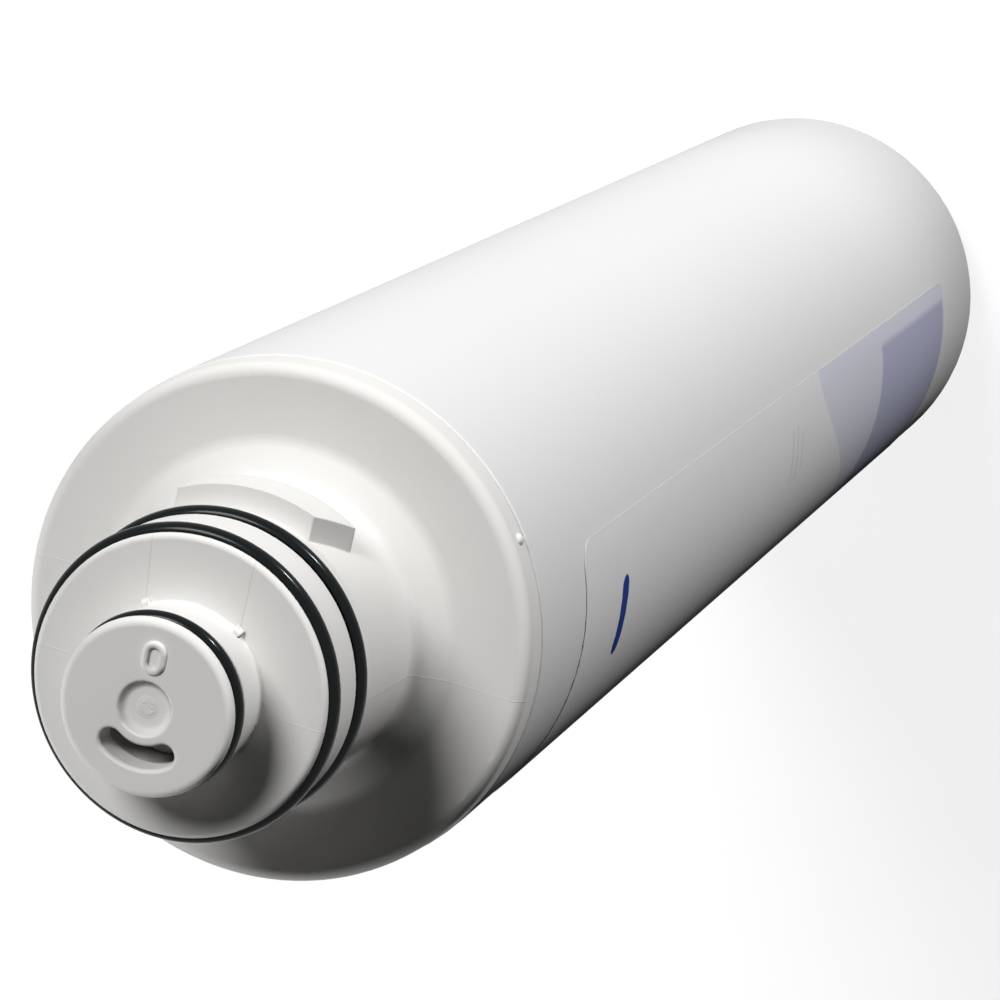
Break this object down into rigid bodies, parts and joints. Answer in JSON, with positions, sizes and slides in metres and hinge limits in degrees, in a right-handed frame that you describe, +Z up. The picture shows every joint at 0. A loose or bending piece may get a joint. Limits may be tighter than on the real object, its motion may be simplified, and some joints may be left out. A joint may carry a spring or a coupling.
{
  "type": "water filter cartridge",
  "caption": "Sealed white plastic water filter cartridge: long round shell, coned shoulder, bayonet lugs and a stepped nose with black seals.",
  "frame": {"origin": "on the cartridge's axis, in the plane its closed end stands on", "axes": "+Z up the axis from the closed end to the nose, +X through the middle of one bayonet lug, -X through the inlet port and the outlet slot"},
  "size_m": [0.0822, 0.0822, 0.4219],
  "materials": {
    "white_shell": "semi-gloss moulded white polypropylene",
    "white_head": "satin moulded warm white polypropylene",
    "seal_rubber": "greased black rubber, glossy",
    "label_film": "thin white printed film",
    "carbon": "pressed activated carbon, dull black",
    "fleece": "white non-woven fleece",
    "natural_plastic": "uncoloured moulded polypropylene",
    "adhesive": "cured hot-melt adhesive"
  },
  "bodies": {
    "root": {"sump_shell": "white_shell", "head_cap": "white_head", "front_spigot_oring": "seal_rubber", "rear_spigot_oring": "seal_rubber", "nose_oring": "seal_rubber", "label": "label_film", "carbon_block": "carbon", "core_liner": "fleece", "prefilter_wrap": "fleece", "outer_netting": "natural_plastic", "block_top_cap": "natural_plastic", "block_bottom_cap": "natural_plastic", "top_adhesive": "adhesive", "bottom_adhesive": "adhesive", "upper_stem_oring": "seal_rubber", "lower_stem_oring": "seal_rubber"}
  },
  "joints": []
}
